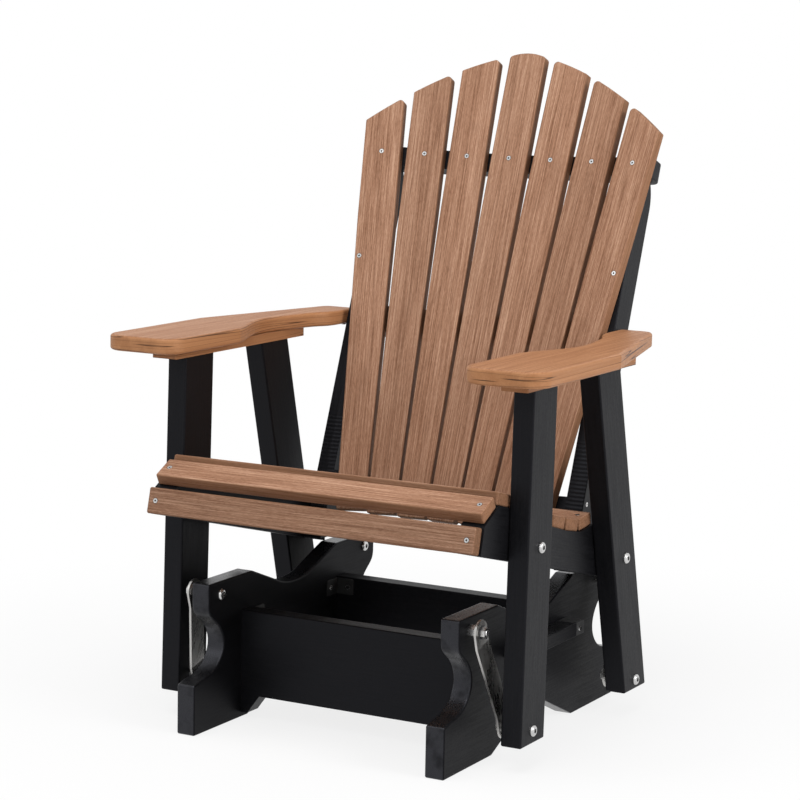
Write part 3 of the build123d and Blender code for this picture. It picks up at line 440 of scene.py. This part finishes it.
# bushes, rubber and painted brackets
dullSkinSpan = (0.36, 0.64)
dullLooks = {
    "bushPlastic": {
        "skin": ((480.0, 480.0, 480.0), 3.0, 0.6, 0.0),
        "dark": (0.012, 0.012, 0.013),
        "light": (0.026, 0.026, 0.028),
        "roughness": (0.35, 0.50),
        "relief": (0.10, 0.0005),
    },
    "stopRubber": {
        "skin": ((520.0, 520.0, 520.0), 3.0, 0.6, 0.0),
        "dark": (0.006, 0.006, 0.006),
        "light": (0.016, 0.016, 0.017),
        "roughness": (0.62, 0.80),
        "relief": (0.30, 0.0005),
    },
    "bracketPaint": {
        "skin": ((620.0, 620.0, 620.0), 3.0, 0.6, 0.0),
        "dark": (0.002, 0.002, 0.002),
        "light": (0.004, 0.004, 0.004),
        "roughness": (0.56, 0.68),
        "relief": (0.14, 0.0005),
    },
}


def dullMaterial(name):
    look = dullLooks[name]
    material, tree, shader, coords = startMaterial(name)
    skin = stretchedNoise(tree, coords["Object"], "skin", *look["skin"])
    tone = ramp(tree, "tone", skin, dullSkinSpan, look["dark"], look["light"])
    gloss = spread(tree, "gloss", skin, *dullSkinSpan, *look["roughness"])
    feed(tree, shader, Base_Color=tone, Roughness=gloss)
    bumped(tree, shader, skin, *look["relief"])
    return material


fastenerSteel = steelMaterial("fastenerSteel")
paint(both("front_link") + both("rear_link"), steelMaterial("linkSteel"))
paint([name for name in nodes if name.endswith(("screws", "bolts", "nuts", "spacers"))], fastenerSteel)
paint(["front_link_bushes", "rear_link_bushes"], dullMaterial("bushPlastic"))
paint(["stop_bumpers"], dullMaterial("stopRubber"))
paint(["corner_brackets", "arm_brackets"], dullMaterial("bracketPaint"))
print("metal and small parts painted")

# screws with a square recess, set on the places of the solid ones
screwSizes = {
    "headRadius": 0.0047,
    "rimRadius": 0.0042,
    "headHeight": 0.0026,
    "recessRadius": 0.0022,
    "recessDepth": 0.0018,
    "recessSides": 4,
    "shankRadius": 0.00225,
    "pointLength": 0.004,
    "pointRadius": 0.0007,
    "sides": 24,
    "seed": 5,
}
screwLengths = {
    "board_screws": 0.048,
    "upright_screws": 0.060,
    "arm_screws": 0.038,
    "bracket_screws": 0.020,
    "base_screws": 0.020,
    "stop_screws": 0.060,
}
weldGap = 1e-6
levelGap = 1e-4  # vertices of one flat end lie within this


def loosePieces(body):
    seen = set()
    for start in body.verts:
        if start in seen:
            continue
        piece, queue = [], [start]
        seen.add(start)
        while queue:
            vert = queue.pop()
            piece.append(tuple(vert.co))
            for edge in vert.link_edges:
                other = edge.other_vert(vert)
                if other not in seen:
                    seen.add(other)
                    queue.append(other)
        yield np.array(piece)


def headSeat(points):
    # where a solid screw's head sits and which way it looks out
    headHeight = screwSizes["headHeight"]
    centre = points.mean(0)
    axis = np.linalg.svd(points - centre, full_matrices=False)[2][0]
    heights = (points - centre) @ axis
    radii = np.linalg.norm(points - centre - np.outer(heights, axis), axis=1)
    widthAtTop = radii[heights > heights.max() - headHeight].max()
    widthAtFoot = radii[heights < heights.min() + headHeight].max()
    if widthAtTop < widthAtFoot:
        heights = -heights
    top = points[heights > heights.max() - levelGap].mean(0)
    tip = points[heights < heights.min() + levelGap].mean(0)
    outward = (top - tip) / np.linalg.norm(top - tip)
    return top - outward * headHeight, outward


def solidPlaces(nodeName):
    body = bmesh.new()
    body.from_mesh(nodes[nodeName].data)
    bmesh.ops.remove_doubles(body, verts=body.verts, dist=weldGap)
    found = [headSeat(points) for points in loosePieces(body)]
    body.free()
    return found


def pointsObject(name, places):
    mesh = bpy.data.meshes.new(name)
    mesh.from_pydata([tuple(spot) for spot, axis in places], [], [])
    outward = mesh.attributes.new("outward", "FLOAT_VECTOR", "POINT")
    for place, (spot, axis) in enumerate(places):
        outward.data[place].vector = tuple(axis)
    thing = bpy.data.objects.new(name, mesh)
    bpy.context.scene.collection.objects.link(thing)
    return thing


def startTree(name, sizes):
    tree = bpy.data.node_groups.new(name, "GeometryNodeTree")
    tree.interface.new_socket("Geometry", in_out="INPUT", socket_type="NodeSocketGeometry")
    tree.interface.new_socket("Geometry", in_out="OUTPUT", socket_type="NodeSocketGeometry")
    for size, value in sizes.items():
        kind = "NodeSocketInt" if isinstance(value, int) else "NodeSocketFloat"
        tree.interface.new_socket(size, in_out="INPUT", socket_type=kind)
    tree.interface.new_socket("finish", in_out="INPUT", socket_type="NodeSocketMaterial")
    return tree, tree.nodes.new("NodeGroupInput").outputs, tree.nodes.new("NodeGroupOutput")


def lowered(tree, geometry, depth):
    offset = addNode(tree, "ShaderNodeCombineXYZ", "offset")
    feed(tree, offset, Z=maths(tree, "below", "MULTIPLY", depth, -1.0))
    move = addNode(tree, "GeometryNodeTransform", "set height")
    return feed(tree, move, Geometry=geometry, Translation=offset.outputs[0]).outputs[0]


def coneBetween(tree, label, sides, low, high, depth):
    cone = addNode(tree, "GeometryNodeMeshCone", label)
    return feed(tree, cone, Vertices=sides, Radius_Bottom=low, Radius_Top=high, Depth=depth).outputs["Mesh"]


def screwShape(tree, size):
    sides, shankRadius, headHeight = size["sides"], size["shankRadius"], size["headHeight"]
    head = coneBetween(tree, "head", sides, size["headRadius"], size["rimRadius"], headHeight)
    recessRadius = size["recessRadius"]
    recess = coneBetween(tree, "recess", size["recessSides"], recessRadius, recessRadius, headHeight)
    recessDrop = maths(tree, "recess floor", "SUBTRACT", size["recessDepth"], headHeight)
    cut = addNode(tree, "GeometryNodeMeshBoolean", "cut recess", operation="DIFFERENCE", solver="EXACT")
    feed(tree, cut, Mesh_1=head, Mesh_2=lowered(tree, recess, recessDrop))
    shank = coneBetween(tree, "shank", sides, shankRadius, shankRadius, size["shankLength"])
    shank = lowered(tree, shank, size["shankLength"])
    point = coneBetween(tree, "point", sides, size["pointRadius"], shankRadius, size["pointLength"])
    pointDepth = maths(tree, "point depth", "ADD", size["shankLength"], size["pointLength"])
    point = lowered(tree, point, pointDepth)
    whole = addNode(tree, "GeometryNodeJoinGeometry", "whole screw")
    for part in (cut.outputs["Mesh"], shank, point):
        tree.links.new(part, whole.inputs[0])
    return whole.outputs[0]


def drivenTurns(tree, seed):
    # stands each screw on its board and gives its recess a chance turn
    outward = addNode(tree, "GeometryNodeInputNamedAttribute", "outward", data_type="FLOAT_VECTOR")
    feed(tree, outward, Name="outward")
    align = addNode(tree, "FunctionNodeAlignRotationToVector", "stand on the board", axis="Z")
    feed(tree, align, Vector=outward.outputs["Attribute"])
    chance = addNode(tree, "FunctionNodeRandomValue", "driven turn", data_type="FLOAT")
    feed(tree, chance, n3=math.tau, Seed=seed)
    spin = addNode(tree, "FunctionNodeAxisAngleToRotation", "spin")
    feed(tree, spin, Axis=upwards, Angle=chance.outputs[1])
    turned = addNode(tree, "FunctionNodeRotateRotation", "turned in place", rotation_space="LOCAL")
    return feed(tree, turned, n0=align.outputs[0], n1=spin.outputs[0]).outputs[0]


def screwTree(sizes):
    tree, given, result = startTree("screwMaker", sizes)
    screw = screwShape(tree, given)
    spots = feed(tree, addNode(tree, "GeometryNodeMeshToPoints", "places"), n0=given["Geometry"])
    copies = addNode(tree, "GeometryNodeInstanceOnPoints", "copies")
    feed(tree, copies, Points=spots.outputs[0], Instance=screw, Rotation=drivenTurns(tree, given["seed"]))
    real = feed(tree, addNode(tree, "GeometryNodeRealizeInstances", "real meshes"), n0=copies.outputs[0])
    dressed = addNode(tree, "GeometryNodeSetMaterial", "finish")
    feed(tree, dressed, Geometry=real.outputs[0], Material=given["finish"])
    feed(tree, result, n0=dressed.outputs[0])
    return tree


def growPiece(name, tree, places, sizes, material):
    # the tree's result becomes a plain mesh
    source = pointsObject(name + "Points", places)
    maker = source.modifiers.new("maker", "NODES")
    maker.node_group = tree
    wanted = dict(sizes, finish=material)
    for item in tree.interface.items_tree:
        if item.item_type == "SOCKET" and item.in_out == "INPUT" and item.name in wanted:
            maker[item.identifier] = wanted[item.name]
    bpy.context.view_layer.update()
    graph = bpy.context.evaluated_depsgraph_get()
    mesh = bpy.data.meshes.new_from_object(source.evaluated_get(graph), depsgraph=graph)
    source.modifiers.clear()
    bpy.data.objects.remove(source)
    mesh.name = name
    piece = bpy.data.objects.new(name, mesh)
    bpy.context.scene.collection.objects.link(piece)
    return piece


screwMaker = screwTree(dict(screwSizes, shankLength=0.0))
for nodeName, length in screwLengths.items():
    places = solidPlaces(nodeName)
    sizes = dict(screwSizes, shankLength=length - screwSizes["pointLength"])
    pieceName = nodeName.split("_")[0] + "Screws"
    piece = growPiece(pieceName, screwMaker, places, sizes, fastenerSteel)
    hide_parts(nodeName)
    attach(piece, nodes[nodeName]["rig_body"])
    print(pieceName, len(places), "screws,", len(piece.data.polygons), "faces")

# camera
view = {
    "place": (2.1575, -4.0169, 1.2389),
    "azimuth": 28.763,
    "pitch": 8.435,
    "roll": 1.085,
    "lens": 115.63,
    "sensorWidth": 36.0,
}


def aimCamera():
    turn, dip, tilt = (math.radians(view[key]) for key in ("azimuth", "pitch", "roll"))
    ahead = Vector((-math.sin(turn) * math.cos(dip), math.cos(turn) * math.cos(dip), -math.sin(dip)))
    level = Vector((math.cos(turn), math.sin(turn), 0.0))
    upright = level.cross(ahead)
    right = math.cos(tilt) * level + math.sin(tilt) * upright
    above = -math.sin(tilt) * level + math.cos(tilt) * upright
    axes = Matrix((right, above, -ahead)).transposed().to_4x4()
    data = bpy.data.cameras.new("photoCamera")
    data.lens = view["lens"]
    data.sensor_width = view["sensorWidth"]
    camera = bpy.data.objects.new("photoCamera", data)
    bpy.context.scene.collection.objects.link(camera)
    camera.matrix_world = Matrix.Translation(view["place"]) @ axes
    bpy.context.scene.camera = camera


# lamps, floor and world
white = (1.0, 1.0, 1.0, 1.0)
studio = {
    "floorReach": 14.0,
    "floorColour": (0.82, 0.82, 0.82, 1.0),
    "floorRoughness": 0.9,
    "floorShine": (0.82, 1.0),  # share of plain white seen near the chair and far off
    "floorFade": (0.50, 1.5),  # metres from the chair's middle
    "worldStrength": 0.37,
    "lampAim": (0.0, 0.0, 0.6),
    "lamps": {
        # place, width, power
        "keyLamp": ((1.4, -4.4, 2.8), 2.2, 28.0),
        "fillLamp": ((-3.4, -2.4, 2.2), 2.6, 20.0),
        "sideLamp": ((4.0, -0.4, 2.0), 1.6, 92.0),
        "topLamp": ((0.0, -1.4, 4.4), 3.2, 122.0),
    },
}


def aimLamp(name, place, width, power):
    data = bpy.data.lights.new(name, "AREA")
    data.shape = "DISK"
    data.size = width
    data.energy = power
    lamp = bpy.data.objects.new(name, data)
    lamp.location = place
    lamp.rotation_euler = (Vector(studio["lampAim"]) - Vector(place)).to_track_quat("-Z", "Y").to_euler()
    bpy.context.scene.collection.objects.link(lamp)


def backgroundRays(tree):
    # rays that see the plain background: the camera's, and those in metal or glass
    rays = addNode(tree, "ShaderNodeLightPath", "which ray").outputs
    seen = maths(tree, "camera or gloss", "MAXIMUM", rays["Is Camera Ray"], rays["Is Glossy Ray"])
    return maths(tree, "or glass", "MAXIMUM", seen, rays["Is Transmission Ray"])


def showWhite(tree, share, lit, plainKind, outputName):
    # shows plain white for a share of what would be lit
    plain = feed(tree, addNode(tree, plainKind, "plain white"), Color=white, Strength=1.0)
    mix = addNode(tree, "ShaderNodeMixShader", "white or lit")
    feed(tree, mix, n0=share, n1=lit, n2=plain.outputs[0])
    feed(tree, tree.nodes[outputName], Surface=mix.outputs[0])


def layFloor():
    reach = studio["floorReach"]
    mesh = bpy.data.meshes.new("studioFloor")
    corners = [(-reach, -reach, 0), (reach, -reach, 0), (reach, reach, 0), (-reach, reach, 0)]
    mesh.from_pydata(corners, [], [(0, 1, 2, 3)])
    floor = bpy.data.objects.new("studioFloor", mesh)
    bpy.context.scene.collection.objects.link(floor)
    material, tree, shader, coords = startMaterial("paleFloor")
    feed(tree, shader, Base_Color=studio["floorColour"], Roughness=studio["floorRoughness"])
    distance = addNode(tree, "ShaderNodeVectorMath", "distance", operation="LENGTH")
    away = feed(tree, distance, n0=coords["Object"]).outputs["Value"]
    shine = spread(tree, "white far off", away, *studio["floorFade"], *studio["floorShine"])
    share = maths(tree, "white share", "MULTIPLY", backgroundRays(tree), shine)
    showWhite(tree, share, shader.outputs[0], "ShaderNodeEmission", "Material Output")
    mesh.materials.append(material)


def lightWorld():
    world = bpy.data.worlds.new("studioWorld")
    bpy.context.scene.world = world
    world.use_nodes = True
    tree = world.node_tree
    lit = feed(tree, tree.nodes["Background"], Color=white, Strength=studio["worldStrength"])
    showWhite(tree, backgroundRays(tree), lit.outputs[0], "ShaderNodeBackground", "World Output")


aimCamera()
for lampName, lampFacts in studio["lamps"].items():
    aimLamp(lampName, *lampFacts)
layFloor()
lightWorld()
bpy.context.scene.view_settings.view_transform = "Standard"
print("camera and studio set")
